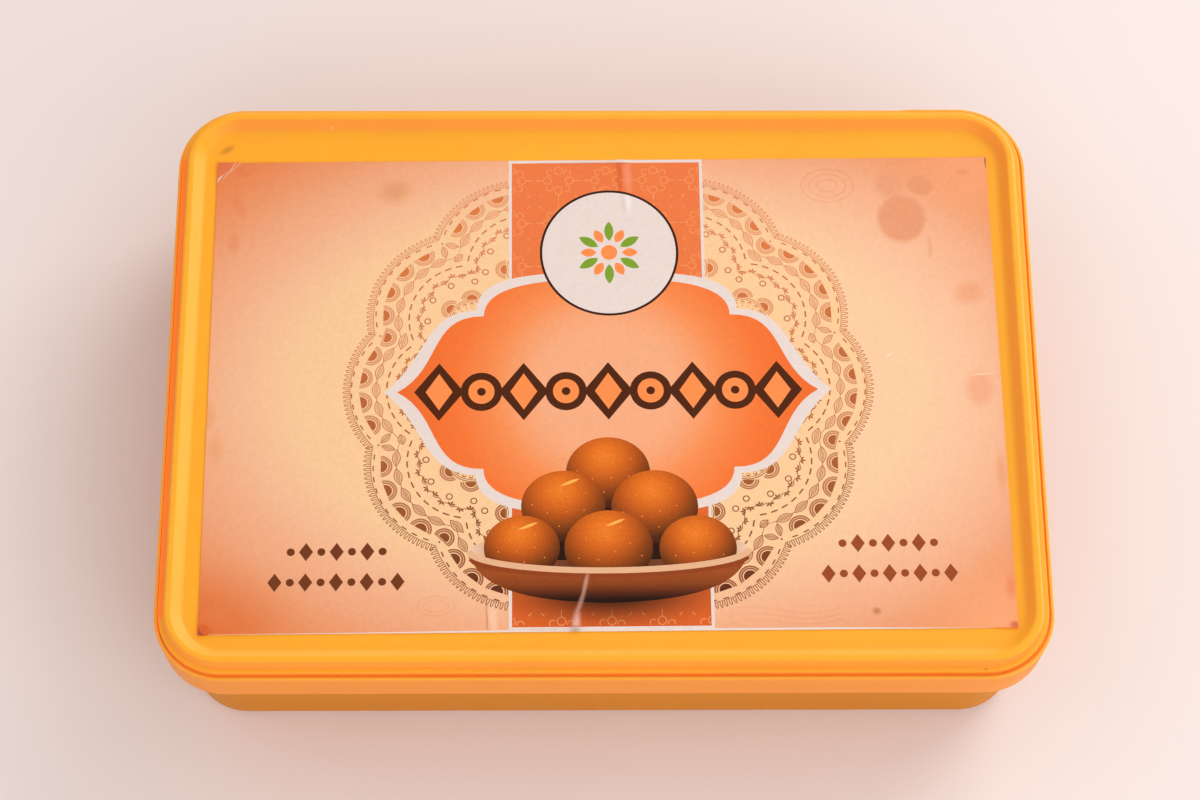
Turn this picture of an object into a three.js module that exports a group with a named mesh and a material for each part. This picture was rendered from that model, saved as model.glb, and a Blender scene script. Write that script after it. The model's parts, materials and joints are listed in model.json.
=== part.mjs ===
// A shut sweet box of yellow-orange injection-moulded plastic. The tub has a collar round its mouth,
// whose skirt hangs outside the tub wall and whose top edge stands up round the lid, so that the lid
// can't be prised off from the side. The lid carries a raised rim round a sunken panel, and a printed
// paper label is stuck on that panel. The box is shut and opaque, so the tub and the lid are solid.
// Millimetres, +Z up, +X along the box. Origin: the middle of the underside.

import * as THREE from 'three';
import { mergeVertices } from 'three/addons/utils/BufferGeometryUtils.js';

// Outside of the collar, the widest part of the box
const boxLength = 240;
const boxWidth = 170;
const collarCorner = 18.5;

// Heights above the table
const collarTop = 48;
const skirtDepth = 13.4;
const seat = 44;
const panelTop = collarTop + 1.2;
const rimTop = collarTop + 4.2;

// Tub: the wall leans in towards a rounded foot
const footInset = 5.3;
const footCorner = 15.8;
const footRound = 3;
const wallTopInset = 2.9;
const wallTopCorner = 16.4;
const channelRoof = 43;

// Collar: a thin upstand round the lid and a skirt with a little draft
const collarWall = 0.9;
const skirtWall = 1.1;
const skirtDraft = 0.3;
const lipRound = 0.25;

// Lid: a flange, the raised rim and the fillet down to the panel, as insets from the collar's outside
const lidInset = 1.7;
const flangeRound = 0.4;
const rimFoot = 3.1;
const rimOuter = 3.6;
const rimInner = 5.5;
const rimRound = 0.6;
const panelEdge = 7.3;
const panelFillet = 0.9;
const lidShift = { x: -0.2, y: 0.3 };

// Label, stuck on a little askew
const labelLength = 217.7;
const labelWidth = 140.2;
const labelThickness = 0.25;
const glueFilm = 0.05;
const labelCentre = { x: 0.55, y: -1.9 };
const labelTurn = THREE.MathUtils.degToRad(0.42);

// Facets
const cornerSteps = 14;
const roundSteps = 4;

// One point of a cross-section: how far in from the collar's outside, how high, and the radius of
// the corners at that point, which shrinks with the inset unless it is given.
function ring(inset, height, corner = collarCorner - inset) {
  return { inset, height, corner };
}

const onAxis = (height) => ({ inset: null, height, corner: 0 });

// A quarter round of a cross-section between two directions, in degrees from straight out.
function quarterRound(inset, height, radius, from, to, corner = collarCorner - inset) {
  const points = [];
  for (let step = 0; step <= roundSteps; step++) {
    const angle = THREE.MathUtils.degToRad(from + ((to - from) * step) / roundSteps);
    const out = radius * Math.cos(angle);
    points.push(ring(inset - out, height + radius * Math.sin(angle), corner + out));
  }
  return points;
}

// Carries a cross-section round the box. It is a lathe whose four quarter turns are moved out to the
// corners, so that the straight sides open up between them.
function roundTheBox(section) {
  const columns = 4 * (cornerSteps + 1);
  const profile = section.map((point) => new THREE.Vector2(point.inset === null ? 0 : 1, point.height));
  const body = new THREE.LatheGeometry(profile, columns);
  const position = body.attributes.position;
  for (let i = 0; i < position.count; i++) {
    const { inset, height, corner } = section[i % section.length];
    if (inset === null) {
      position.setXYZ(i, 0, 0, height);
      continue;
    }
    const column = Math.floor(i / section.length) % columns;
    const quarter = Math.floor(column / (cornerSteps + 1));
    const turn = (column % (cornerSteps + 1)) / cornerSteps;
    const angle = (quarter + turn) * (Math.PI / 2);
    const sideX = quarter === 0 || quarter === 3 ? 1 : -1;
    const sideY = quarter < 2 ? 1 : -1;
    const x = sideX * (boxLength / 2 - inset - corner) + corner * Math.cos(angle);
    const y = sideY * (boxWidth / 2 - inset - corner) + corner * Math.sin(angle);
    position.setXYZ(i, x, y, height);
  }
  body.deleteAttribute('normal');
  body.deleteAttribute('uv');
  const closed = mergeVertices(body, 1e-4);
  closed.computeVertexNormals();
  return closed;
}

function plastic(color) {
  return new THREE.MeshStandardMaterial({ color, roughness: 0.45, metalness: 0 });
}

function makeTub() {
  const skirtBottom = collarTop - skirtDepth;
  const section = [
    onAxis(0),
    ...quarterRound(footInset + footRound, footRound, footRound, -90, 0, footCorner - footRound),
    ring(wallTopInset, channelRoof, wallTopCorner),
    ring(skirtWall, channelRoof),
    ring(skirtDraft + skirtWall, skirtBottom),
    ring(skirtDraft, skirtBottom),
    ring(0, collarTop - lipRound),
    ring(lipRound, collarTop),
    ring(collarWall - lipRound, collarTop),
    ring(collarWall, collarTop - lipRound),
    ring(collarWall, seat),
    onAxis(seat),
  ];
  const tub = new THREE.Mesh(roundTheBox(section), plastic('#f2a03a'));
  tub.name = 'tub';
  return tub;
}

function makeLid() {
  const section = [
    onAxis(seat),
    ring(lidInset, seat),
    ...quarterRound(lidInset + flangeRound, panelTop - flangeRound, flangeRound, 0, 90),
    ring(rimFoot, panelTop),
    ...quarterRound(rimOuter + rimRound, rimTop - rimRound, rimRound, 0, 90),
    ...quarterRound(rimInner - rimRound, rimTop - rimRound, rimRound, 90, 150),
    ring(panelEdge - panelFillet / 2, panelTop + panelFillet),
    ring(panelEdge, panelTop + panelFillet / 3),
    ring(panelEdge + panelFillet, panelTop),
    onAxis(panelTop),
  ];
  const lid = new THREE.Mesh(roundTheBox(section), plastic('#fcae37'));
  lid.name = 'lid';
  lid.position.set(lidShift.x, lidShift.y, 0);
  return lid;
}

function makeLabel() {
  const outline = new THREE.Shape();
  outline.moveTo(-labelLength / 2, -labelWidth / 2);
  outline.lineTo(labelLength / 2, -labelWidth / 2);
  outline.lineTo(labelLength / 2, labelWidth / 2);
  outline.lineTo(-labelLength / 2, labelWidth / 2);
  const sheet = new THREE.ExtrudeGeometry(outline, { depth: labelThickness, bevelEnabled: false });
  const paper = new THREE.MeshStandardMaterial({ color: '#f0b184', roughness: 0.6, metalness: 0 });
  const label = new THREE.Mesh(sheet, paper);
  label.name = 'label';
  label.position.set(labelCentre.x, labelCentre.y, panelTop + glueFilm);
  label.rotation.z = labelTurn;
  return label;
}

const sweetBox = new THREE.Group();
sweetBox.add(makeTub(), makeLid(), makeLabel());

export default sweetBox;
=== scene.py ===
import json
import math

import bmesh
import bpy
from mathutils import Matrix, Vector
from mathutils.geometry import delaunay_2d_cdt, interpolate_bezier

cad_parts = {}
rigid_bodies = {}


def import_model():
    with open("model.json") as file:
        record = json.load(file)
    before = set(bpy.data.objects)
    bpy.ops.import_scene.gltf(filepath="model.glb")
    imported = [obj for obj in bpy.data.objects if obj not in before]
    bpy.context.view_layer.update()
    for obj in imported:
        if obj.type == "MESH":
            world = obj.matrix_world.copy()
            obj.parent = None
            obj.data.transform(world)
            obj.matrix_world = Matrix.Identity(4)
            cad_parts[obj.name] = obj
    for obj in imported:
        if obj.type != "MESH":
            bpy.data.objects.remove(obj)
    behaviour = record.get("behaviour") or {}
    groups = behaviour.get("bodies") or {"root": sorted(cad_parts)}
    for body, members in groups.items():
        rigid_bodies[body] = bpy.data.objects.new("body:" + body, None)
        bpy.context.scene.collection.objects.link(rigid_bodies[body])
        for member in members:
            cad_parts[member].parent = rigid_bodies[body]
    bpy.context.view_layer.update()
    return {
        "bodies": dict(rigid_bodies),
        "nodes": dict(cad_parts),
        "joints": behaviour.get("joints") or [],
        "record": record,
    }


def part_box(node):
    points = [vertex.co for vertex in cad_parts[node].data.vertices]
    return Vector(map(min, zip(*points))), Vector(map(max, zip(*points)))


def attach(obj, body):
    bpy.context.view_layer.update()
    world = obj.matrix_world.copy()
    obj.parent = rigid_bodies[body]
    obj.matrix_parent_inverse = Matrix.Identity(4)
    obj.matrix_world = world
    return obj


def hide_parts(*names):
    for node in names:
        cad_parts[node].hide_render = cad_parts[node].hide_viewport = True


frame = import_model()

MM = 0.001


# View. The box stands on a table and is looked down on from the front, so that the whole lid shows
# with a narrow strip of the front wall under it.
lens = 87.469
eye = Vector((-7.931, -313.615, 786.334)) * MM
down = math.radians(67.305)
aside = math.radians(1.298)
roll = math.radians(1.111)

ahead = Vector((math.sin(aside) * math.cos(down), math.cos(aside) * math.cos(down), -math.sin(down)))
level = Vector((math.cos(aside), -math.sin(aside), 0))
upright = level.cross(ahead)
right = level * math.cos(roll) + upright * math.sin(roll)
up = upright * math.cos(roll) - level * math.sin(roll)
camera_data = bpy.data.cameras.new("camera")
camera_data.lens = lens
camera_data.sensor_width = 36
camera_data.clip_start = 0.01
camera = bpy.data.objects.new("camera", camera_data)
bpy.context.scene.collection.objects.link(camera)
placement = Matrix((right, up, -ahead)).transposed().to_4x4()
placement.translation = eye
camera.matrix_world = placement
bpy.context.scene.camera = camera
bpy.context.scene.view_settings.view_transform = "Standard"


# Table. A large sheet of pale pinkish card. Matt paper, lit softly from the right.
def linear(code):
    """A colour written as sRGB hex, in linear light."""
    channels = [int(code[i:i + 2], 16) / 255 for i in (1, 3, 5)]
    return tuple(c / 12.92 if c <= 0.04045 else ((c + 0.055) / 1.055) ** 2.4 for c in channels) + (1,)


def add(tree, kind, feed=None, stops=None, **settings):
    """Adds a node with its settings. feed gives its inputs, as values or as sockets to link."""
    node = tree.nodes.new(kind)
    for name, value in settings.items():
        setattr(node, name, value)
    for socket, value in (feed or {}).items():
        if isinstance(value, bpy.types.NodeSocket):
            tree.links.new(value, node.inputs[socket])
        else:
            node.inputs[socket].default_value = value
    if stops:
        elements = node.color_ramp.elements
        while len(elements) < len(stops):
            elements.new(1)
        for element, (place, code) in zip(elements, stops):
            element.position = place
            element.color = linear(code)
    return node


def start_material(name):
    """An empty material with its output node."""
    material = bpy.data.materials.new(name)
    material.use_nodes = True
    material.node_tree.nodes.clear()
    return material, material.node_tree, material.node_tree.nodes.new("ShaderNodeOutputMaterial")


def keep_mesh(bm, name, *materials):
    """Turns a bmesh into an object of that name at the origin, carrying these materials."""
    mesh = bpy.data.meshes.new(name)
    bm.to_mesh(mesh)
    bm.free()
    for material in materials:
        mesh.materials.append(material)
    piece = bpy.data.objects.new(name, mesh)
    bpy.context.scene.collection.objects.link(piece)
    return piece


table_card, tree, output = start_material("matt pale card")
card = add(tree, "ShaderNodeBsdfPrincipled", {
    "Base Color": linear("#f3e7e3"),
    "Roughness": 0.85,
    "Specular IOR Level": 0.2,
})
tree.links.new(card.outputs[0], output.inputs[0])
bm = bmesh.new()
bmesh.ops.create_grid(bm, x_segments=1, y_segments=1, size=3)
table = keep_mesh(bm, "table", table_card)


# Light. Large soft panels: the main one behind on the right, with weaker ones overhead and in front, and
# a warm fill on the left. The pale room round them is brighter towards the horizon than overhead.
def soft_panel(name, place, size, watts, code="#ffffff"):
    """An area light at that place, turned to the middle of the box."""
    lamp = bpy.data.lights.new(name, "AREA")
    lamp.shape = "RECTANGLE"
    lamp.size, lamp.size_y = size
    lamp.energy = watts
    lamp.color = linear(code)[:3]
    panel = bpy.data.objects.new(name, lamp)
    panel.location = place
    panel.rotation_euler = (-Vector(place)).to_track_quat("-Z", "Y").to_euler()
    bpy.context.scene.collection.objects.link(panel)


soft_panel("main light", (0.8, 0.9, 0.7), (0.9, 0.9), 8.0)
soft_panel("overhead light", (0.5, 0.25, 1.15), (1.1, 1.0), 1.5)
soft_panel("right front light", (0.8, -0.8, 0.7), (0.9, 0.9), 3.5)
soft_panel("front light", (0.0, -0.9, 0.8), (0.9, 0.9), 2.2)
soft_panel("left fill", (-0.8, 0.0, 1.0), (0.9, 0.9), 1.7, "#ffd8c8")
room = bpy.data.worlds.new("pale room")
bpy.context.scene.world = room
room.use_nodes = True
tree = room.node_tree
way = add(tree, "ShaderNodeTexCoord").outputs["Generated"]
height = add(tree, "ShaderNodeSeparateXYZ", {0: way}).outputs["Z"]
glow = add(tree, "ShaderNodeMapRange", {"Value": height, "To Min": 0.78, "To Max": 0.41})
tree.links.new(glow.outputs[0], tree.nodes["Background"].inputs["Strength"])
tree.nodes["Background"].inputs["Color"].default_value = linear("#ffffff")


# Tub. A deep tray moulded in one piece from yellow-orange polypropylene. A collar runs round its mouth:
# a skirt hangs outside the wall, with a channel under it, and a thin edge stands up round the lid.
corner_steps = 14
side_steps = 48
collar_corner = 18.5
collar_wall = 0.9
skirt_wall = 1.1
skirt_bottom = 34.6
skirt_edge = 0.35
channel_roof = 43
foot_inset = 5.3
foot_corner = 15.8
foot_round = 3
wall_top_inset = 2.9
wall_top_corner = 16.4
skirt_draft = 0.3
lip_height = 0.9
lip_round = 0.3
lip_inner_round = 0.2
tub_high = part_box("tub")[1]
half_length = tub_high.x
half_width = tub_high.y
collar_top = tub_high.z / MM


def ring(inset, height, corner=None, finish=0):
    """A point of a cross-section, in millimetres: inset from the collar's outside, height, corner radius.
    finish is the material of the step that starts there."""
    return (inset, height, collar_corner - inset if corner is None else corner, finish)


def rounded(inset, height, radius, start, end, corner=None, steps=6, finish=0):
    """A round of a cross-section between two directions, in degrees from straight out."""
    middle = collar_corner - inset if corner is None else corner
    points = []
    for step in range(steps + 1):
        angle = math.radians(start + (end - start) * step / steps)
        out = radius * math.cos(angle)
        points.append(ring(inset - out, height + radius * math.sin(angle), middle + out, finish))
    return points


def corner_point(quarter, turn, inset, corner):
    """Where a cross-section's point stands at a turn, 0 to 1, of one corner of the box."""
    angle = (quarter + turn) * math.pi / 2
    side_x = 1 if quarter % 4 in (0, 3) else -1
    side_y = 1 if quarter % 4 in (0, 1) else -1
    return Vector((
        side_x * (half_length - (inset + corner) * MM) + corner * MM * math.cos(angle),
        side_y * (half_width - (inset + corner) * MM) + corner * MM * math.sin(angle),
        0,
    ))


def carry_round(section):
    """Spins a cross-section once round, and moves its quarter turns out to the corners of the box."""
    columns = 4 * (corner_steps + side_steps)
    bm = bmesh.new()
    which = bm.verts.layers.int.new("point of the section")
    chain = []
    for index in range(len(section)):
        chain.append(bm.verts.new((1 + index, 0, 0)))
        chain[-1][which] = index
    edges = [bm.edges.new(pair) for pair in zip(chain, chain[1:])]
    bmesh.ops.spin(bm, geom=chain + edges, cent=(0, 0, 0), axis=(0, 0, 1), angle=math.tau,
                   steps=columns, use_merge=True)
    for vert in bm.verts:
        column = round(math.atan2(vert.co.y, vert.co.x) / math.tau * columns) % columns
        quarter, step = divmod(column, corner_steps + side_steps)
        inset, height, corner, _ = section[vert[which]]
        if step <= corner_steps:
            place = corner_point(quarter, step / corner_steps, inset, corner)
        else:
            along = (step - corner_steps) / side_steps
            leaving = corner_point(quarter, 1, inset, corner)
            place = leaving.lerp(corner_point(quarter + 1, 0, inset, corner), along)
        vert.co = (place.x, place.y, height * MM)
    rims = [edge for edge in bm.edges if edge.is_boundary]
    bmesh.ops.holes_fill(bm, edges=rims, sides=0)
    bmesh.ops.recalc_face_normals(bm, faces=bm.faces[:])
    for face in bm.faces:
        face.smooth = True
        if len(face.verts) == 4:
            face.material_index = section[min(vert[which] for vert in face.verts)][3]
    return bm


# The main light's direction, by which shade and light are painted into the plastics' colours
light_way = (0.66, 0.75, 0)


def moulded_polypropylene(name, low, high, height=0, shine=0.35, shade=None, lit=None,
                          turned=(-0.1, -0.55), glow=0, marks=()):
    """Polypropylene out of a polished mould, with an even satin surface. Light goes some way into it. Its
    colour also carries painted light: a redder painted-shade colour (shade) where it is turned away from
    the main light, a paler painted-light colour (lit) where it is turned to it, and a faint painted glow
    (glow) as emission. It has one colour below a height, in millimetres, and one above. marks: middle,
    reach, colour and turn of specks."""
    material, tree, output = start_material(name)
    place = add(tree, "ShaderNodeTexCoord").outputs["Object"]
    level = add(tree, "ShaderNodeSeparateXYZ", {0: place}).outputs["Z"]
    above = add(tree, "ShaderNodeMapRange", {
        "Value": level,
        "From Min": (height - 0.2) * MM,
        "From Max": (height + 0.2) * MM,
    })
    body = add(tree, "ShaderNodeMix", {
        0: above.outputs[0],
        "A": linear(low),
        "B": linear(high),
    }, data_type="RGBA").outputs["Result"]
    # Painted shade and light: redder where turned away from the main light, paler where turned to it
    facing = add(tree, "ShaderNodeVectorMath", {
        0: add(tree, "ShaderNodeNewGeometry").outputs["Normal"],
        1: light_way,
    }, operation="DOT_PRODUCT")
    away = add(tree, "ShaderNodeMapRange", {
        "Value": facing.outputs["Value"],
        "From Min": turned[0],
        "From Max": turned[1],
    })
    body = add(tree, "ShaderNodeMix", {
        0: away.outputs[0],
        "A": body,
        "B": linear(shade) if shade else body,
    }, data_type="RGBA").outputs["Result"]
    towards = add(tree, "ShaderNodeMapRange", {
        "Value": facing.outputs["Value"],
        "From Min": 0.2,
        "From Max": 0.6,
    })
    body = add(tree, "ShaderNodeMix", {
        0: towards.outputs[0],
        "A": body,
        "B": linear(lit) if lit else body,
    }, data_type="RGBA").outputs["Result"]
    for middle, reach, code, turn in marks:
        mark = add(tree, "ShaderNodeMapping", {
            "Vector": place,
            "Location": Vector((*middle, 0)) * MM,
            "Rotation": (0, 0, math.radians(turn)),
            "Scale": Vector((*reach, 1000)) * MM,
        }, vector_type="TEXTURE")
        distance = add(tree, "ShaderNodeVectorMath", {0: mark.outputs[0]}, operation="LENGTH")
        fade = add(tree, "ShaderNodeMapRange", {
            "Value": distance.outputs["Value"],
            "From Min": 0.3,
            "To Min": 0.8,
            "To Max": 0,
        })
        body = add(tree, "ShaderNodeMix", {
            0: fade.outputs[0],
            "A": body,
            "B": linear(code),
        }, data_type="RGBA").outputs["Result"]
    # Slow streaks of the melt, a few centimetres across
    flow = add(tree, "ShaderNodeTexNoise", {"Vector": place, "Scale": 25, "Detail": 4})
    uneven = add(tree, "ShaderNodeMapRange", {
        "Value": flow.outputs["Fac"],
        "To Min": 0.95,
        "To Max": 1.05,
    })
    tint = add(tree, "ShaderNodeHueSaturation", {"Value": uneven.outputs[0], "Color": body})
    # Fine orange peel left by the mould, about 1.5 mm across
    peel = add(tree, "ShaderNodeTexNoise", {"Vector": place, "Scale": 650, "Detail": 2})
    skin = add(tree, "ShaderNodeBump", {
        "Height": peel.outputs["Fac"],
        "Strength": 0.1,
        "Distance": 0.0002,
    })
    rough = add(tree, "ShaderNodeMapRange", {"Value": flow.outputs["Fac"], "To Min": 0.4, "To Max": 0.48})
    plastic = add(tree, "ShaderNodeBsdfPrincipled", {
        "Base Color": tint.outputs[0],
        "Roughness": rough.outputs[0],
        "IOR": 1.49,
        "Specular IOR Level": shine,
        "Subsurface Weight": 0.3,
        "Subsurface Radius": (1.0, 0.8, 0.6),
        "Subsurface Scale": 0.001,
        # Painted glow, standing in for light coming through the plastic
        "Emission Color": linear("#ff8c1e"),
        "Emission Strength": glow,
        "Normal": skin.outputs[0],
    })
    tree.links.new(plastic.outputs[0], output.inputs[0])
    return material


tub_section = [
    ring(20, 0, 4),
    *rounded(foot_inset + foot_round, foot_round, foot_round, -90, 0, foot_corner - foot_round),
    ring(wall_top_inset, channel_roof, wall_top_corner),
    ring(skirt_wall, channel_roof),
    ring(skirt_wall + skirt_draft, skirt_bottom + 0.2),
    *rounded(skirt_draft + skirt_edge, skirt_bottom + skirt_edge, skirt_edge, -90, 0, steps=4),
    ring(0, collar_top - lip_height, finish=2),
    *rounded(lip_round, collar_top - lip_round, lip_round, 0, 90, steps=5, finish=2),
    *rounded(collar_wall - lip_inner_round, collar_top - lip_inner_round, lip_inner_round, 90, 180,
             steps=3, finish=2),
    ring(collar_wall, collar_top - 0.3, finish=1),
    ring(collar_wall, collar_top - 0.8, finish=1),
    ring(6, collar_top - 0.8),
]
# The wall is painted darker, as painted shade under the skirt, and the skirt over it paler and salmon,
# as painted light coming through its thin wall
tub_plastic_painted_shade_and_light = moulded_polypropylene("moulded polypropylene of the tub", "#d68202", "#fb993a",
                                        height=skirt_bottom + 0.1, shine=0.08)
# The thin walls on both sides of the gap round the lid, with a painted glow and a redder painted shade
# where they turn away from the light, standing in for light coming through them
gap_painted_glow = moulded_polypropylene("polypropylene of the gap, with a painted glow", "#ffc258", "#ffc258",
                                 shade="#fb9e34", turned=(0.55, 0.15), glow=0.07)
# The collar's lip, with painted shade and painted light by how it faces the main light
lip = moulded_polypropylene("polypropylene of the collar's thin lip", "#ffb43a", "#ffb43a",
                            shade="#ff9e34", lit="#ffc050")
bm = carry_round(tub_section)
# The back of the lip is warped up a little towards the right corner
warp_start = 86
warp_height = 0.5
for vert in bm.verts:
    past = vert.co.x / MM - warp_start
    if vert.co.z > (collar_top - 1) * MM and vert.co.y > 80 * MM and past > 0:
        vert.co.z += warp_height * MM * min(1, past / 1.5)
tub = keep_mesh(bm, "sweet_box_tub", tub_plastic_painted_shade_and_light, gap_painted_glow, lip)
tub.data.set_sharp_from_angle(angle=math.radians(40))
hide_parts("tub")
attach(tub, "root")


# Lid. Moulded from the same polypropylene, with a flange that drops inside the collar, a raised rim
# with soft edges, and a sunken panel that carries the label.
lid_low, lid_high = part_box("lid")
lid_shift = Vector(((lid_low.x + lid_high.x) / 2, (lid_low.y + lid_high.y) / 2, 0))
rim_top = lid_high.z / MM
rim_rise = 3
panel_top = rim_top - rim_rise
seat = lid_low.z / MM
flange_inset = 1.35
flange_round = 0.4
foot_fillet = 0.4
rim_foot = 2.5
rim_side = 3.2
rim_shoulder = 0.8
crest_end = 4.7
crest_round = 1.1
panel_edge = 8.6
panel_fillet = 2.2
lid_section = [
    ring(8, seat),
    ring(flange_inset, seat, finish=1),
    *rounded(flange_inset + flange_round, panel_top - flange_round, flange_round, 0, 90, steps=5),
    *rounded(rim_foot, panel_top + foot_fillet, foot_fillet, 270, 200, steps=4, finish=1),
    *rounded(rim_side + rim_shoulder, rim_top - rim_shoulder, rim_shoulder, 10, 90, steps=7),
    *rounded(crest_end, rim_top - crest_round, crest_round, 90, 140, steps=5),
    *rounded(panel_edge, panel_top + panel_fillet, panel_fillet, 318, 270, steps=8),
    ring(12, panel_top),
]
# A smudge, a pale speck and a pit
lid_marks = (
    ((-106.4, 71.6), (3.2, 1.3), "#cf8424", 34),
    ((-76.7, 78.4), (0.4, 0.4), "#ffcf8c", 0),
    ((100.6, -82.6), (0.5, 0.4), "#c86414", 0),
)
# Lid plastic with painted shade and light by its facing to the main light, and a faint painted glow
lid_plastic = moulded_polypropylene("moulded polypropylene of the lid", "#ffaf23", "#ffaf23",
                                    shade="#ff9f30", lit="#ffbe4c", glow=0.03, marks=lid_marks)
bm = carry_round(lid_section)
bmesh.ops.translate(bm, verts=bm.verts[:], vec=lid_shift)
# The flange on the left lies closer under the lip; there it is painted deep orange with a strong painted
# glow, standing in for the light that comes through the thin plastic
left_flange_painted_glow = moulded_polypropylene("polypropylene painted with a strong glow", "#ff7a1c", "#ff7a1c",
                                    glow=0.25)
for face in bm.faces:
    place = face.calc_center_median()
    if place.x < 2.1 * MM - half_length and seat * MM < place.z < (panel_top + 0.3) * MM:
        face.material_index = 2
lid = keep_mesh(bm, "sweet_box_lid", lid_plastic, gap_painted_glow, left_flange_painted_glow)
lid.data.set_sharp_from_angle(angle=math.radians(40))
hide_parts("lid")
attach(lid, "root")


# Label. A sheet of coated paper, printed in peach, orange and brown, and stuck on the lid's panel a
# little askew, with creases where it was smoothed down. Each ink is a material of its own, with its
# edges cut into the sheet's mesh by a planar triangulation, which no bmesh operator does.
sheet_length = 217.7
sheet_width = 140.2
sheet_turn = math.radians(0.42)
label_low, label_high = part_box("label")
inks = []
print_shapes = []


def lay(ink, outline, frame=((0, 0), 1)):
    """Prints a flat shape over those before it. Millimetres on the sheet, and its own middle and size."""
    corners = [Vector(corner) for corner in outline]
    turns = sum(a.cross(b) for a, b in zip(corners, corners[1:] + corners[:1]))
    print_shapes.append((ink, corners if turns > 0 else corners[::-1], frame))


def stroke(ink, points, width, closed=False):
    """Prints a line of that width, as a four-sided patch for each step."""
    path = [Vector(point) for point in points]
    if closed:
        path.append(path[0])
    sides = []
    for index, point in enumerate(path):
        before = path[index - 1] if index else (path[-2] if closed else point)
        after = path[index + 1] if index + 1 < len(path) else (path[1] if closed else point)
        along = (after - before).normalized()
        across = Vector((-along.y, along.x)) * width / 2
        sides.append((point + across, point - across))
    for (a, b), (c, d) in zip(sides, sides[1:]):
        lay(ink, [a, b, d, c])


def bow(radius, start=0, end=360, steps=14, middle=(0, 0), flat=1.0):
    """Points along a round, between two directions in degrees."""
    count = steps if end - start == 360 else steps + 1
    angles = [math.radians(start + (end - start) * step / steps) for step in range(count)]
    return [(middle[0] + radius * math.cos(a), middle[1] + radius * flat * math.sin(a)) for a in angles]


def curve(*knots, steps=16):
    """Points along Bezier curves, each from one knot over two handles to the next knot."""
    points = []
    for index in range(0, len(knots) - 1, 3):
        bends = [Vector((*knot, 0)) for knot in knots[index:index + 4]]
        points += [tuple(point.xy) for point in interpolate_bezier(*bends, steps)][1 if points else 0:]
    return points


def both_ways(quarter, middle):
    """A whole outline from its upper left quarter, mirrored across and then down."""
    upper = quarter + [(2 * middle[0] - x, y) for x, y in quarter[-2::-1]]
    return upper + [(x, 2 * middle[1] - y) for x, y in upper[-2:0:-1]]


# Lace: twelve lobes round the middle of the sheet, a little flattened. Each of its rings is given by its
# distance from the middle at the tip of a lobe and at the notch between two
lace_middle = (0.85, -0.2)
lace_flat = 0.965
lobes = 12
half_lobe = math.pi / lobes
ground_edge = (71.5, 67.2)
loop_feet = (71, 66.6)
edge_line = (70.9, 66.5)
outer_stitches = (70.5, 65.3)
outer_eyes = (68.2, 63.3)
leaf_line = (63.7, 58.8)
inner_stitches = (60.8, 55.0)
vine_line = (57.7, 51.5)
medallion_line = 43.4
medallion_reach = 6.45
loops_per_lobe = 30
sprigs_per_lobe = 12
band_left = -26.5
band_right = 28.2


def on_lobe(tip, notch, lobe, along):
    """A place on a lobed ring and its outward heading. along goes from -1 to 1, notch to notch."""
    out = (tip ** 2 - notch ** 2) / (2 * (tip - notch * math.cos(half_lobe)))
    swing = math.atan2(notch * math.sin(half_lobe), notch * math.cos(half_lobe) - out)
    facing = 2 * half_lobe * lobe
    heading = facing + along * swing
    return (
        out * math.cos(facing) + (tip - out) * math.cos(heading),
        out * math.sin(facing) + (tip - out) * math.sin(heading),
    ), heading


def covered(at):
    """True for a place on the lace that the band or the cartouche hides, or that is off the sheet."""
    x, y = at[0], at[1] * lace_flat
    return band_left + 1.5 < x < band_right - 2.5 or abs(x) / 57 + abs(y) / 47 < 0.93 or abs(y) > 70.5


def motif(ink, shape, at, heading):
    """Prints a shape of the lace, turned outwards and moved to its place."""
    cos, sin = math.cos(heading), math.sin(heading)
    lay(ink, [
        (lace_middle[0] + at[0] + x * cos - y * sin,
         lace_middle[1] + lace_flat * (at[1] + x * sin + y * cos))
        for x, y in shape
    ])


def thread(ink, points, width):
    """Prints a thin line of the lace, where it isn't covered."""
    sheet = [(lace_middle[0] + x, lace_middle[1] + lace_flat * y) for x, y in points]
    for index, place in enumerate(points[:-1]):
        if not covered(place):
            stroke(ink, sheet[index:index + 2], width)


def eye_motif(at, heading, core=1.8, closing=0):
    """A half disc in two rings, its straight side outwards: the motif that the lace repeats most."""
    if covered(at):
        return
    rings = ((1.4, "lace shade"), (0.92, "lace ground"), (0.78, "lace shade"), (0.3, "lace ground"),
             (0, "lace ink"))
    for growth, ink in rings:
        motif(ink, bow(core + growth, 90 - closing, 270 + closing, 12), at, heading)


def leaf(length, width):
    """The outline of a leaf that lies across its heading."""
    side = [(width / 2 * math.sin(math.pi * step / 7), length * (step / 7 - 0.5)) for step in range(8)]
    return side + [(-x, y) for x, y in side[-2:0:-1]]


def leaf_motif(at, heading, length=5.3, width=2.4):
    """A leaf with a fine edge and a vein."""
    if covered(at):
        return
    motif("lace line", leaf(length, width), at, heading)
    motif("lace pink", leaf(length - 0.7, width - 0.4), at, heading)
    motif("lace line", leaf(length * 0.72, width * 0.42), at, heading)
    motif("lace pink", leaf(length * 0.68, width * 0.3), at, heading)
    motif("lace line", leaf(length * 0.9, 0.14), at, heading)


def dash_motif(at, heading, length, width):
    """One stitch of a dashed ring."""
    if not covered(at):
        x, y = width / 2, length / 2
        motif("lace stitch", [(-x, -y), (x, -y), (x, y), (-x, y)], at, heading)


def ring_motif(distance, swing):
    """A small open ring at that distance and direction from the middle."""
    at = (distance * math.cos(swing), distance * math.sin(swing))
    if not covered(at):
        motif("lace stitch", bow(0.98, steps=12), at, 0)
        motif("lace ground", bow(0.66, steps=12), at, 0)


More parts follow.
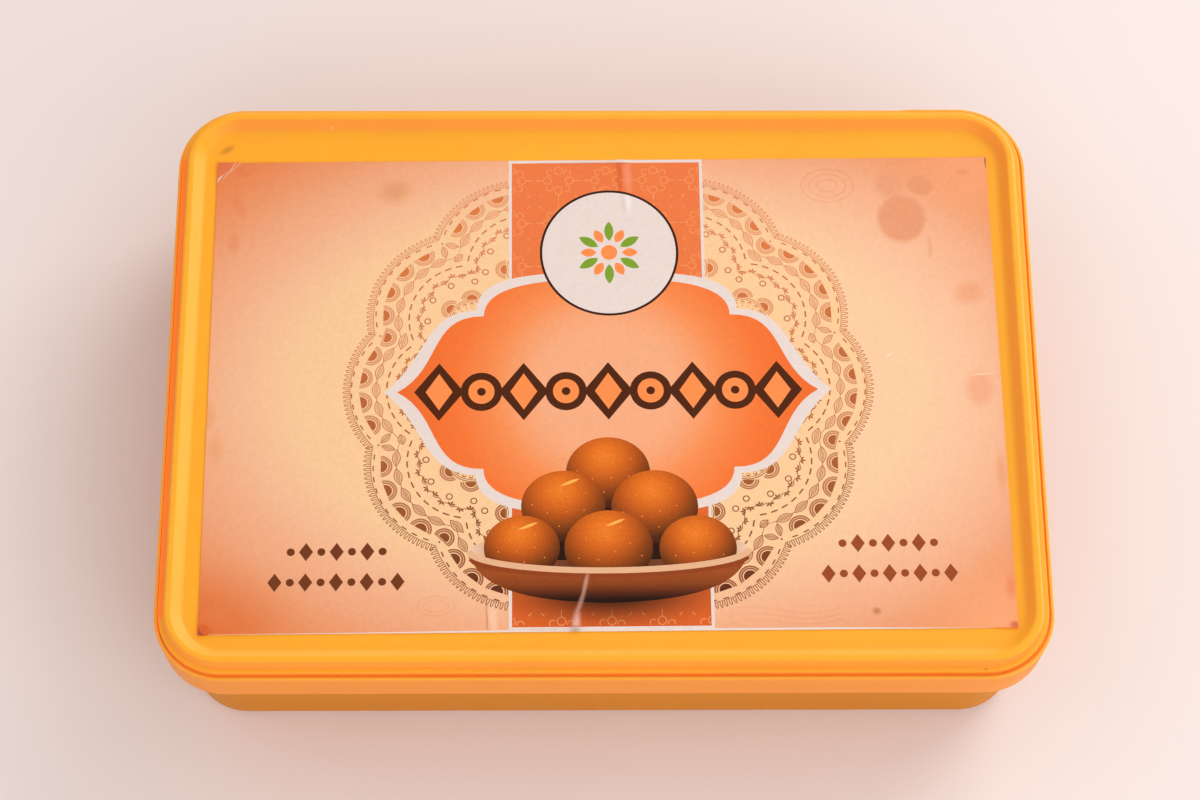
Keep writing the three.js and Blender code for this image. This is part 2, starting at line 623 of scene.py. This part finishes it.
for lobe in range(lobes):
    edge = [on_lobe(*ground_edge, lobe, step / 8 - 1)[0] for step in range(17)]
    motif("lace ground", edge + [(0, 0)], (0, 0), 0)
for lobe in range(lobes):
    facing = 2 * half_lobe * lobe
    for count in range(loops_per_lobe):
        at, heading = on_lobe(*loop_feet, lobe, (2 * count + 1) / loops_per_lobe - 1)
        if not covered(at):
            cos, sin = math.cos(heading), math.sin(heading)
            hairpin = ((-0.2, -0.3), (0.9, -0.38), (1.75, -0.16), (1.75, 0.14), (0.9, 0.3), (0, 0.34))
            hairpin = [(at[0] + x * cos - y * sin, at[1] + x * sin + y * cos) for x, y in hairpin]
            thread("lace line", hairpin, 0.21)
    thread("lace line", [on_lobe(*edge_line, lobe, step / 12 - 1)[0] for step in range(25)], 0.16)
    thread("lace line", [on_lobe(*leaf_line, lobe, step / 14 - 1)[0] for step in range(29)], 0.15)
    for side in (-1, 1):
        for along in (0.09, 0.27, 0.45, 0.63, 0.81):
            dash_motif(*on_lobe(*outer_stitches, lobe, side * along), 1.6, 0.36)
        for along in (0.1, 0.29, 0.48, 0.67, 0.86):
            dash_motif(*on_lobe(*inner_stitches, lobe, side * along), 1.9, 0.42)
        for along in (0.21, 0.62):
            eye_motif(*on_lobe(*outer_eyes, lobe, side * along))
        for along in (0.34, 0.67):
            leaf_motif(*on_lobe(*leaf_line, lobe, side * along))
        ring_motif(54.2, facing + side * math.radians(6.8))
        ring_motif(50.0, facing + side * math.radians(12.6))
    leaf_motif(*on_lobe(*leaf_line, lobe, 0))
    ring_motif(55.9, facing)
    notch = facing + half_lobe
    to_notch = Vector((math.cos(notch), math.sin(notch)))
    dash_motif(to_notch * 65.0, notch, 0.5, 0.5)
    if lobe % 2:
        eye_motif(to_notch * 63.3, notch, 1.5, 20)
        leaf_motif(to_notch * 58.5, notch, 5.4, 2.6)
    else:
        for side in (-1, 1):
            leaf_motif(to_notch * 62.6 + to_notch.orthogonal() * 1.5 * side, notch + 1.0 * side, 4.2, 1.9)
        leaf_motif(to_notch * 58.5, notch, 3.4, 2.2)
    tip, dip = vine_line
    vine = [on_lobe(tip + 0.6 * (step % 4 > 1) - 0.3, dip, lobe, step / 24 - 1)[0] for step in range(49)]
    thread("lace line", vine, 0.22)
    for count in range(sprigs_per_lobe):
        at, heading = on_lobe(*vine_line, lobe, (2 * count + 1) / sprigs_per_lobe - 1)
        if not covered(at):
            for fan in (-55, 0, 55):
                petal = [(0, 0), (0.75, -0.3), (1.45, 0), (0.75, 0.3)]
                motif("lace line", petal, at, heading + math.radians(fan) + math.pi * (count % 2))
    centre = Vector((math.cos(facing), math.sin(facing))) * medallion_line
    if abs(centre.x) < 20:
        continue
    for petal in range(6):
        heading = facing + petal * math.pi / 3
        at = centre + Vector((math.cos(heading), math.sin(heading))) * medallion_reach
        eye_motif(at, heading + math.pi, 1.56)
    for radius, ink in ((6.4, "lace line"), (6.15, "lace ground"), (5.8, "lace line"),
                        (5.6, "lace ground")):
        motif(ink, bow(radius, steps=36), centre, 0)
    for dot in range(16):
        swing = math.radians(22.5 * dot)
        way = Vector((math.cos(swing), math.sin(swing)))
        motif("lace line", bow(0.55, steps=8), centre + way * 4.9, 0)
        motif("lace ground", bow(0.36, steps=8), centre + way * 4.75, 0)
        motif("lace ink", bow(0.2, steps=6), centre + way * 3.8, 0)

# Band down the middle, edged in white, with a trellis of rings and scrolls
sheet_edge = sheet_width / 2
band_trim = 0.85
lay("white print", [(band_left, -sheet_edge), (band_right, -sheet_edge),
                    (band_right, sheet_edge), (band_left, sheet_edge)])
lay("band orange", [(band_left + band_trim, 1.3 - sheet_edge), (band_right - band_trim, 1.3 - sheet_edge),
                    (band_right - band_trim, sheet_edge - 0.9), (band_left + band_trim, sheet_edge - 0.9)])
trellis_pitch = 13.4
trellis_line = 0.3
for row in range(-1, 11):
    for column in range(-1, 5):
        knot = Vector((band_left + 0.6 + column * trellis_pitch, sheet_edge - 6.4 - row * trellis_pitch))
        if -58 < knot.y < 22:
            continue
        for quarter in range(4):
            swing = math.radians(90 * quarter)
            way = Vector((math.cos(swing), math.sin(swing)))
            side = Vector((-way.y, way.x))
            # A ring, its stem, the scroll beside it and a short dash towards the next knot
            parts = [
                bow(1.15, steps=12, middle=knot + way * 3.1) + [knot + way * 3.1 + Vector((1.15, 0))],
                [knot + way * (4.25 + step * 0.5) for step in range(5)],
                bow(0.95, 90 * quarter - 40, 90 * quarter + 200, 10, knot + way * 2.5 + side * 2.3),
                [knot + (way + side) * 4.6, knot + (way + side) * 5.4],
            ]
            for part in parts:
                for a, b in zip(part, part[1:]):
                    if band_left + 1 < a[0] < band_right - 1 and band_left + 1 < b[0] < band_right - 1:
                        if 1.6 < sheet_edge - abs(a[1]) and 1.6 < sheet_edge - abs(b[1]):
                            stroke("trellis", [a, b], trellis_line)

# Cartouche: an ogee plate, edged in white
plate_middle = (0.67, -0.9)
outer_edge = curve((-60.7, -0.9), (-48.6, 9.0), (-50.0, 23.5), (-35.5, 23.5),
                   (-35.1, 34.8), (-19.3, 34.6), (0.67, 35.5))
inner_edge = curve((-57.1, -0.9), (-44.8, 5.9), (-48.8, 22.2), (-33.4, 21.8),
                   (-33.4, 29.6), (-23.2, 33.2), (0.67, 32.9))
lay("white print", both_ways(outer_edge, plate_middle))
lay("plate orange", both_ways(inner_edge, plate_middle))

# Badge: a white round with a brown edge and a plain rosette
badge = Vector((1.56, 41.1))
badge_radius = 19.4
lay("dark brown", bow(badge_radius, steps=80, middle=badge))
lay("white print", bow(badge_radius - 0.7, steps=80, middle=badge))
for petal in range(12):
    swing = math.radians(30 * petal)
    way = Vector((math.cos(swing), math.sin(swing)))
    side = Vector((-way.y, way.x))
    root = badge + way * 3.6
    tip = badge + way * (9.6 if petal % 2 else 8.0)
    left = curve(root, root.lerp(tip, 0.3) - side * 1.9, root.lerp(tip, 0.75) - side * 1.5, tip, steps=8)
    back = curve(tip, root.lerp(tip, 0.75) + side * 1.5, root.lerp(tip, 0.3) + side * 1.9, root, steps=8)
    lay("leaf green" if petal % 2 else "title orange", left + back[1:-1])
lay("title orange", bow(2.3, steps=24, middle=badge))

# Title: a chain of brown-edged orange lozenges and discs
title_middle = (0.8, -0.9)
title_pitch = 11.6
for growth, ink in ((2.1, "warm brown"), (0, "title orange")):
    for count in range(-4, 5):
        middle = Vector((title_middle[0] + title_pitch * count, title_middle[1]))
        if count % 2:
            lay(ink, bow(3.6 + growth, steps=28, middle=middle))
        else:
            tall, wide = 5.4 + growth * 1.5, 3.7 + growth * 1.5
            lay(ink, [middle + Vector(tip) for tip in ((wide, 0), (0, tall), (-wide, 0), (0, -tall))])
for count in (-3, -1, 1, 3):
    lay("warm brown", bow(1.2, steps=16, middle=(title_middle[0] + title_pitch * count, title_middle[1])))

# Side notes: two rows of small lozenges and dots on each side
note_pitch = 4.1
for place, ink in (((-72.6, -51.4), "side brown"), ((75.4, -50.2), "side rust")):
    for row, reach in ((4.3, 3), (-4.3, 4)):
        for count in range(-reach, reach + 1):
            middle = Vector((place[0] + note_pitch * count, place[1] + row))
            if count % 2:
                lay(ink, bow(1.1, steps=14, middle=middle))
            else:
                lay(ink, [middle + Vector(tip) for tip in ((1.9, 0), (0, 2.6), (-1.9, 0), (0, -2.6))])

# Picture: six round sweets heaped on a shallow dish
rim_middle = (0.4, -47.2)
rim_radius = 37.6
rim_flat = 0.155
lay("dish", bow(rim_radius, steps=64, middle=rim_middle, flat=rim_flat), (rim_middle, rim_radius))
lay("deep shade", [(-16, -38), (-8, -28), (8, -28), (17, -38), (28, -50), (-27, -50)])
sweet_flat = 0.9
sweets = (((0.4, -24.9), 11.4, 0), ((-11.8, -34.6), 11.4, 1), ((12.9, -34.9), 11.7, 0),
          ((-23.0, -46.4), 10.2, 1), ((24.3, -46.9), 10.4, 0), ((0.3, -46.6), 11.9, 1))
for middle, radius, nutty in sweets:
    lay("sweet", bow(radius, steps=48, middle=middle, flat=sweet_flat), (middle, radius))
    for count in range(9):
        swing = 2.4 * count + radius
        away = radius * 0.27 * math.sqrt(count + 0.5)
        crumb = (middle[0] + away * math.cos(swing), middle[1] + 0.8 * away * math.sin(swing))
        lay("fleck", bow(0.2, steps=6, middle=crumb))
    if nutty:
        tip = Vector(middle) + Vector((0.15, 0.6)) * radius
        sliver = curve(tip - Vector((2.6, 0.9)), tip - Vector((1, 0)), tip + Vector((0.8, 1.1)),
                       tip + Vector((2.8, 1.1)), tip + Vector((1.3, -0.1)), tip - Vector((0.6, 0.9)),
                       tip - Vector((2.6, 0.9)), steps=7)
        lay("nut", sliver[:-1])
bowl_left = curve((-37.2, -47.4), (-35.5, -54.8), (-29, -61.6), (0.4, -62.2), steps=24)
bowl_right = [(2 * rim_middle[0] - x, y) for x, y in bowl_left[-2::-1]]
brim = bow(rim_radius, 180, 360, 48, rim_middle, rim_flat)
lay("dish body", bowl_left + bowl_right + brim[::-1][1:-1], ((0.4, -47.5), 15))
stroke("dish lip", [(x, y - 1.5) for x, y in brim[2:-2]], 1.2)
stroke("dish brim", brim, 1.7)

# Wear: an unprinted edge along the bottom, faint print from the back and a rubbed corner; and two
# corners darker at their tips
lay("white print", [(-106, -70.1), (102, -70.1), (60, -69.55), (-27, -69.5), (-60, -69.82)])
ghost_rings = (((-104.2, -65.2), 3.9, 0.7), ((-104.2, -65.2), 2.6, 0.7), ((-45.9, -62.6), 5.0, 0.55),
               ((-45.9, -62.6), 3.4, 0.5), ((-95.4, -59.3), 3.0, 0.8), ((63.5, 61.5), 7.4, 0.7),
               ((63.5, 61.5), 5.2, 0.7), ((63.5, 61.5), 2.8, 0.7))
for place, size, flat in ghost_rings:
    stroke("ghost", bow(size, steps=24, middle=place, flat=flat), 0.3, closed=True)
lay("ghost", bow(1.7, steps=16, middle=(-104.2, -65.2), flat=0.75))
for row in range(3):
    wave = curve((32, -64.5 - 1.9 * row), (42, -61 - 2 * row), (50, -69 - row), (62, -64 - 1.6 * row))
    stroke("ghost", wave, 0.22)
lay("white print", [(-108.8, 63.6), (-108.6, 64.9), (-107.2, 66.2), (-107.4, 65.6), (-108.4, 64.4)])
stroke("scratch", [(-107.6, 65.8), (-105.2, 67.6), (-103.8, 70.1)], 0.16)
stroke("scratch", [(-107.2, 64.9), (-105.0, 67.3), (-102.4, 70.1)], 0.12)
# Two corners darker at their tips
lay("dark corner", [(108.8, 70.1), (108.8, 66.2), (108.55, 67.4), (108.4, 69.4)])
lay("dark corner", [(-108.8, -70.1), (-107.0, -70.1), (-107.8, -69.7), (-108.4, -69.0), (-108.8, -68.4)])

# Sheet: every outline is cut into one flat mesh, which then gets its creases and its thickness. Each
# crease is given by the points along it, its height and its spread
sheet_middle = (label_low + label_high) / 2
sheet_middle.z = label_high.z
creases = (
    (((-5.2, -53.5), (-6.4, -59.0), (-8.2, -64.2), (-8.9, -70.1)), 0.5, 1.1),
    (((6.2, 57.5), (5.4, 63.8), (5.6, 70.1)), 0.45, 1.5),
    (((-32.5, -60.0), (-32, -70.1)), 0.14, 0.4),
    (((-103.0, 70.1), (-105.6, 66.8), (-108.8, 63.2)), 0.3, 0.6),
    (((77.5, 8.2), (79.9, 10.1)), 0.12, 0.5),
    (((103.6, 2.4), (105.4, 3.4)), 0.12, 0.5),
)
corner_curl = 0.35
curl_reach = 4.5


def lift(x, y):
    """How far the sheet stands off there: a ridge along each crease, higher towards its last point, and
    a slight curl at the four corners."""
    height = 0.0
    for knots, ridge, spread in creases:
        legs = list(zip(knots, knots[1:]))
        for index, (a, b) in enumerate(legs):
            a, b = Vector(a), Vector(b)
            part = max(0.0, min(1.0, (Vector((x, y)) - a).dot(b - a) / (b - a).length_squared))
            distance = (Vector((x, y)) - a.lerp(b, part)).length
            grown = (index + part) / len(legs)
            height = max(height, ridge * grown * math.exp(-(distance / spread) ** 2))
    to_corner = math.hypot(sheet_length / 2 - abs(x), sheet_width / 2 - abs(y))
    return height + corner_curl * math.exp(-(to_corner / curl_reach) ** 2)


flat_points = []
sheet_size = Vector((sheet_length, sheet_width))
corners = [sheet_size * Vector(side) / 2 for side in ((-1, -1), (1, -1), (1, 1), (-1, 1))]
for a, b in zip(corners, corners[1:] + corners[:1]):
    steps = round((b - a).length / 2)
    flat_points += [a.lerp(b, step / steps) for step in range(steps)]
cut_faces = [list(range(len(flat_points)))]
for ink, outline, frame in print_shapes:
    cut_faces.append(list(range(len(flat_points), len(flat_points) + len(outline))))
    flat_points += outline
columns, rows = 72, 46
for column in range(1, columns):
    for row in range(1, rows):
        flat_points.append(sheet_size * Vector((column / columns - 0.5, row / rows - 0.5)))
for knots, ridge, spread in creases:
    for a, b in zip(knots, knots[1:]):
        a, b = Vector(a), Vector(b)
        across = (b - a).normalized().orthogonal()
        steps = max(2, round((b - a).length / 0.8))
        for step in range(steps):
            for away in (-3, -1.8, -1, -0.4, 0, 0.4, 1, 1.8, 3):
                point = a.lerp(b, step / steps) + across * away * spread
                if abs(point.x) < sheet_length / 2 - 0.1 and abs(point.y) < sheet_width / 2 - 0.1:
                    flat_points.append(point)
places, _, triangles, _, _, sources = delaunay_2d_cdt(flat_points, [], cut_faces, 1, 0.0005, True)
bm = bmesh.new()
spot_on_motif = bm.loops.layers.uv.new("motif")
verts = [bm.verts.new((x * MM, y * MM, lift(x, y) * MM)) for x, y in places]
for triangle, source in zip(triangles, sources):
    if 0 not in source:
        continue
    face = bm.faces.new([verts[index] for index in triangle])
    face.smooth = True
    if max(source):
        ink, outline, (middle, size) = print_shapes[max(source) - 1]
        if ink not in inks:
            inks.append(ink)
        face.material_index = inks.index(ink) + 1
        for loop in face.loops:
            x, y = loop.vert.co.x / MM - middle[0], loop.vert.co.y / MM - middle[1]
            loop[spot_on_motif].uv = (x / size, y / size)
bottom = [edge for edge in bm.edges if edge.is_boundary]
sides = bmesh.ops.extrude_edge_only(bm, edges=bottom)["geom"]
for vert in sides:
    if isinstance(vert, bmesh.types.BMVert):
        vert.co.z = label_low.z - label_high.z
bmesh.ops.holes_fill(bm, edges=[edge for edge in bm.edges if edge.is_boundary], sides=0)
bmesh.ops.recalc_face_normals(bm, faces=bm.faces[:])
bmesh.ops.rotate(bm, verts=bm.verts[:], cent=(0, 0, 0), matrix=Matrix.Rotation(sheet_turn, 3, "Z"))
bmesh.ops.translate(bm, verts=bm.verts[:], vec=sheet_middle)


def printed_paper(name, stops, middle=(0, 0), reach=(112, 72), measure="LENGTH", own=False,
                  mottle=0.03, grain=900, stains_and_painted_light=()):
    """Coated paper under one ink: satin, with a faint tooth. stops: its colours over a distance from the
    middle, on the sheet or, with own, on each motif. stains_and_painted_light: soft patches of another
    colour, real stains and painted highlights and shade alike, as middle, reach, strength, colour, turn
    and where they start to fade."""
    material, tree, output = start_material(name)
    place = add(tree, "ShaderNodeTexCoord").outputs["Object"]
    sheet = add(tree, "ShaderNodeMapping", {
        "Vector": place,
        "Location": sheet_middle,
        "Rotation": (0, 0, sheet_turn),
        "Scale": (MM, MM, MM),
    }, vector_type="TEXTURE").outputs[0]
    start = add(tree, "ShaderNodeUVMap", uv_map="motif").outputs[0] if own else sheet
    spot = add(tree, "ShaderNodeMapping", {
        "Vector": start,
        "Location": (*middle, 0),
        "Scale": (*reach, 1000),
    }, vector_type="TEXTURE")
    far = add(tree, "ShaderNodeVectorMath", {0: spot.outputs[0]}, operation=measure)
    if measure == "DOT_PRODUCT":
        far.inputs[1].default_value = (0, 1, 0)
    colour = add(tree, "ShaderNodeValToRGB", {0: far.outputs["Value"]}, stops).outputs[0]
    # Stains of the paper, and painted highlights and shade along creases, each mixed in as a soft patch
    for patch_middle, patch_reach, most, code, turn, *edge in stains_and_painted_light:
        patch_mapping = add(tree, "ShaderNodeMapping", {
            "Vector": sheet,
            "Location": (*patch_middle, 0),
            "Rotation": (0, 0, math.radians(turn)),
            "Scale": (*patch_reach, 1000),
        }, vector_type="TEXTURE")
        away = add(tree, "ShaderNodeVectorMath", {0: patch_mapping.outputs[0]}, operation="LENGTH")
        fade = add(tree, "ShaderNodeMapRange", {
            "Value": away.outputs["Value"],
            "From Min": edge[0] if edge else 0.15,
            "To Min": most,
            "To Max": 0,
        }, interpolation_type="SMOOTHSTEP")
        colour = add(tree, "ShaderNodeMix", {
            0: fade.outputs[0],
            "A": colour,
            "B": linear(code),
        }, data_type="RGBA").outputs["Result"]
    # Ink takes a little unevenly, in flecks about a millimetre across
    flecks = add(tree, "ShaderNodeTexNoise", {"Vector": place, "Scale": grain, "Detail": 4})
    value = add(tree, "ShaderNodeMapRange", {
        "Value": flecks.outputs["Fac"],
        "From Min": 0.3,
        "From Max": 0.7,
        "To Min": 1 - mottle,
        "To Max": 1 + mottle,
    })
    inked = add(tree, "ShaderNodeHueSaturation", {"Value": value.outputs[0], "Color": colour})
    # Paper fibre shows through the coating as a faint tooth, about 0.5 mm
    fibre = add(tree, "ShaderNodeTexNoise", {"Vector": place, "Scale": 2000, "Detail": 2})
    tooth = add(tree, "ShaderNodeBump", {
        "Height": fibre.outputs["Fac"],
        "Strength": 0.06,
        "Distance": 0.0002,
    })
    rough = add(tree, "ShaderNodeMapRange", {
        "Value": flecks.outputs["Fac"],
        "To Min": 0.42,
        "To Max": 0.54,
    })
    paper = add(tree, "ShaderNodeBsdfPrincipled", {
        "Base Color": inked.outputs[0],
        "Roughness": rough.outputs[0],
        "Specular IOR Level": 0.1,
        "Normal": tooth.outputs[0],
    })
    tree.links.new(paper.outputs[0], output.inputs[0])
    return material


# Colours given over the height of the sheet, from its bottom edge up
down_the_sheet = {"middle": (0, -72), "reach": (1, 144), "measure": "DOT_PRODUCT"}
# The ground deepens from golden peach round the lace to orange at the corners, darkest on the left
ground_stops = ((0.41, "#facc99"), (0.56, "#f8ca99"), (0.66, "#f4bb93"), (0.73, "#f2af86"),
                (0.79, "#efa67d"), (0.85, "#ec9a6c"), (0.92, "#e98d5a"), (1, "#e47d46"))
ghost_stops = ((0.41, "#f5c08c"), (0.56, "#f4bb8b"), (0.66, "#f1b086"), (0.73, "#efa579"),
               (0.79, "#eb9c6f"), (0.85, "#e89060"), (0.92, "#e4834e"), (1, "#de743e"))
# Painted light along the two creases of the band: paler streaks as a painted highlight down the lower
# crease, and a darker and a paler streak as painted shade and highlight on the two sides of the upper one;
# and the printed shade under the pictured dish
lower_crease_highlight = (((-6.0, -56.5), (0.9, 5), 0.5, "#eab49a", -13),
                ((-7.4, -62), (1.0, 6), 0.45, "#e2a892", -18),
                ((-8.7, -68.5), (1.7, 6), 0.7, "#f0bfae", -4))
upper_crease_shade_and_highlight = (((4.8, 65), (1.2, 9), 0.5, "#d0552f", 2), ((7.2, 64.5), (1.8, 9), 0.5, "#f59b7c", 3))
# Warm corners and a pale wash over the right half first: the print deepens at the corners, and the right
# side is paler and the left corners darker partly as painted sheen from the light on the right and painted
# shade on the left. Then the round water rings on the right, pale streaks along the small creases, a
# painted highlight and painted shade beside the crease near the bottom, and small rubbed spots along
# the edges
stains_and_painted_light = (
    ((78, 0), (62, 100), 0.4, "#fccfae", 0),
    ((110, 71), (34, 30), 0.85, "#f7a676", 0),
    ((110, -72), (34, 30), 0.95, "#f9a877", 0),
    ((-110, -71), (34, 26), 0.7, "#e06f35", 0),
    ((84, 51), (7.7, 8.5), 0.85, "#e7976d", 0, 0.72),
    ((81, 62.3), (5.6, 6.6), 0.7, "#ea9c73", 0, 0.4),
    ((89.7, 61.4), (4.5, 3.5), 0.8, "#e7966c", -15, 0.65),
    ((91.5, 42), (1.2, 5), 0.5, "#eda276", 0, 0.3),
    ((-58.5, 60.5), (7, 5), 0.6, "#de9262", 15),
    ((-109.4, -7.1), (4, 7), 0.5, "#e89a5c", 0),
    ((-106.3, -17.4), (3, 7), 0.4, "#e89a5c", 0),
    ((102.5, -51), (5, 4), 0.35, "#eda06c", 0),
    ((101.8, 28), (6, 5), 0.6, "#ee9c70", 10, 0.3),
    ((102.8, -1), (5.5, 7.5), 0.55, "#ee9c70", 0, 0.3),
    ((78.6, 9.3), (1.6, 0.4), 0.8, "#ffe4c6", 35, 0.3),
    ((103.5, 3.2), (4, 0.45), 0.6, "#fbd9b8", 5, 0.3),
    ((107.2, -26), (2.2, 9), 0.5, "#ec9868", 0),
    ((71.4, -65.1), (1.7, 1.5), 0.95, "#c8845c", 0),
    ((101.9, 65.6), (3, 1.6), 0.6, "#ea8e62", 0),
    ((107.6, -58.5), (2, 4.4), 0.9, "#ee8c60", 0),
    ((107.9, -69.4), (2, 1.6), 0.95, "#dc6c4a", 0),
    ((-107.5, 69), (4.5, 4.5), 0.8, "#de7048", 0),
    ((-107.5, -69), (3.5, 3), 0.9, "#d8602c", 0),
    # A painted highlight and painted shade on the two sides of the crease near the bottom
    ((-30.6, -66), (1.8, 9), 0.5, "#fdd8b6", 3),
    ((-32.3, -66), (0.4, 9), 0.7, "#c88460", 3),
    ((-102.5, 56.5), (2.5, 5), 0.4, "#e07c50", 25),
    ((-103.5, 45), (2.5, 5), 0.4, "#e2845a", 0),
    ((-101.5, 67), (3.5, 2), 0.35, "#de7448", -30),
)
under_dish = ((0.4, -59.5), (36, 11.5), 0.95, "#42200e", 0)
# The inks. Those of the lace and the band grow paler up the sheet, as they are printed
ink_colours = {
    # A painted highlight and painted shade on the two sides of the upper crease across the badge, and
    # darker where the lower crease meets the bottom edge
    "white print": printed_paper("coated paper left white", ((0, "#ead9d1"), (1, "#ead9d1")),
                                 stains_and_painted_light=(((7.2, 57), (1.2, 6), 0.35, "#ffffff", 5),
                                         ((5.6, 57), (1.0, 6), 0.25, "#c9b4a8", 5),
                                         ((-8.9, -69.8), (2, 2), 0.6, "#c9b4a8", 0))),
    "lace ground": printed_paper("paper printed golden peach", ground_stops, reach=(152, 98)),
    "lace line": printed_paper("paper printed with the lace's fine lines",
                               ((0.25, "#8c4422"), (0.5, "#c0693c"), (0.85, "#de8456")), **down_the_sheet),
    "lace shade": printed_paper("paper printed with the lace's pale bands",
                                ((0.15, "#a05c3a"), (0.5, "#d8946a"), (0.85, "#e9a070")),
                                **down_the_sheet),
    "lace pink": printed_paper("paper printed with the lace's leaves",
                               ((0.1, "#e4ac80"), (0.5, "#f5c292"), (0.85, "#f5be90")), **down_the_sheet),
    "lace stitch": printed_paper("paper printed with the lace's stitches",
                                 ((0.15, "#7c4026"), (0.5, "#b25c34"), (0.85, "#cf7444")),
                                 **down_the_sheet),
    "lace ink": printed_paper("paper printed with the lace's solid brown",
                              ((0.1, "#642f18"), (0.27, "#a0582e"), (0.5, "#bc6638"), (0.82, "#de7c44")),
                              **down_the_sheet),
    "band orange": printed_paper("paper printed reddish orange",
                                 ((0, "#dc6328"), (0.1, "#dc6328"), (0.8, "#ee7b44"), (1, "#ee7b44")),
                                 stains_and_painted_light=(under_dish, *lower_crease_highlight, *upper_crease_shade_and_highlight), **down_the_sheet),
    "trellis": printed_paper("paper printed with the pale trellis", ((0, "#f3955a"), (1, "#f3955a")),
                             stains_and_painted_light=(under_dish, *lower_crease_highlight, *upper_crease_shade_and_highlight)),
    "plate orange": printed_paper(
        "paper printed pale to deep orange",
        ((0, "#f7ae83"), (0.32, "#f7ad82"), (0.41, "#f7a576"), (0.48, "#f79c67"), (0.55, "#f89054"),
         (0.63, "#f68648"), (0.75, "#f67836"), (0.89, "#f27130"), (1, "#ef6d2d")),
        middle=(0.7, 0), reach=(56, 56)),
    "dark brown": printed_paper("paper printed dark brown", ((0, "#3c1e14"), (1, "#3c1e14"))),
    "warm brown": printed_paper("paper printed warm brown", ((0, "#50240c"), (1, "#50240c"))),
    "side brown": printed_paper("paper printed chestnut", ((0, "#743a1c"), (1, "#743a1c"))),
    "side rust": printed_paper("paper printed rust", ((0, "#9c4a24"), (1, "#9c4a24"))),
    "title orange": printed_paper("paper printed bright orange", ((0, "#ff904d"), (1, "#ff904d"))),
    "leaf green": printed_paper("paper printed green", ((0, "#7fa22e"), (1, "#7fa22e"))),
    "sweet": printed_paper("paper printed with the round sweets",
                           ((0, "#ef812a"), (0.18, "#e6741f"), (0.34, "#d2651b"), (0.5, "#b55317"),
                            (0.66, "#8a4212"), (0.85, "#54280e"), (1, "#3a1a0c")),
                           middle=(-0.08, 0.42), reach=(1.5, 1.36), own=True, mottle=0.08, grain=1500),
    "fleck": printed_paper("paper printed with the sweets' pale crumbs", ((0, "#f3964c"), (1, "#f3964c"))),
    "dish lip": printed_paper("paper printed with the shade under the brim",
                              ((0, "#94421c"), (1, "#94421c")), stains_and_painted_light=lower_crease_highlight),
    "ghost": printed_paper("paper with faint print from its back", ghost_stops, reach=(152, 98)),
    "scratch": printed_paper("paper with its print scratched", ((0, "#f0c4ac"), (1, "#f0c4ac"))),
    "dark corner": printed_paper("paper darker at its corner tip", ((0, "#a85040"), (1, "#a85040"))),
    "nut": printed_paper("paper printed with the nut slivers", ((0, "#fbb650"), (1, "#fbb650"))),
    "deep shade": printed_paper("paper printed near black", ((0, "#2a1208"), (1, "#2a1208"))),
    "dish": printed_paper("paper printed with the dish's inside",
                          ((0, "#5a2c18"), (0.76, "#8a4c2c"), (0.84, "#dda67e"), (1, "#efcbae")),
                          reach=(1, 1), own=True),
    "dish body": printed_paper("paper printed with the dish's side",
                               ((0, "#180a06"), (0.1, "#28120a"), (0.22, "#5a2812"), (0.38, "#8c4219"),
                                (0.6, "#a04e20"), (1, "#823610")),
                               middle=(0, -1), reach=(1, 1), measure="DOT_PRODUCT", own=True, mottle=0.06,
                               stains_and_painted_light=lower_crease_highlight),
    "dish brim": printed_paper("paper printed with the dish's brim", ((0, "#e8b48c"), (1, "#e8b48c")),
                               stains_and_painted_light=lower_crease_highlight),
}
ground = printed_paper("paper printed peach", ground_stops, reach=(152, 98), stains_and_painted_light=stains_and_painted_light)
label = keep_mesh(bm, "sweet_box_label", ground, *[ink_colours[ink] for ink in inks])
label.data.set_sharp_from_angle(angle=math.radians(40))
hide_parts("label")
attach(label, "root")
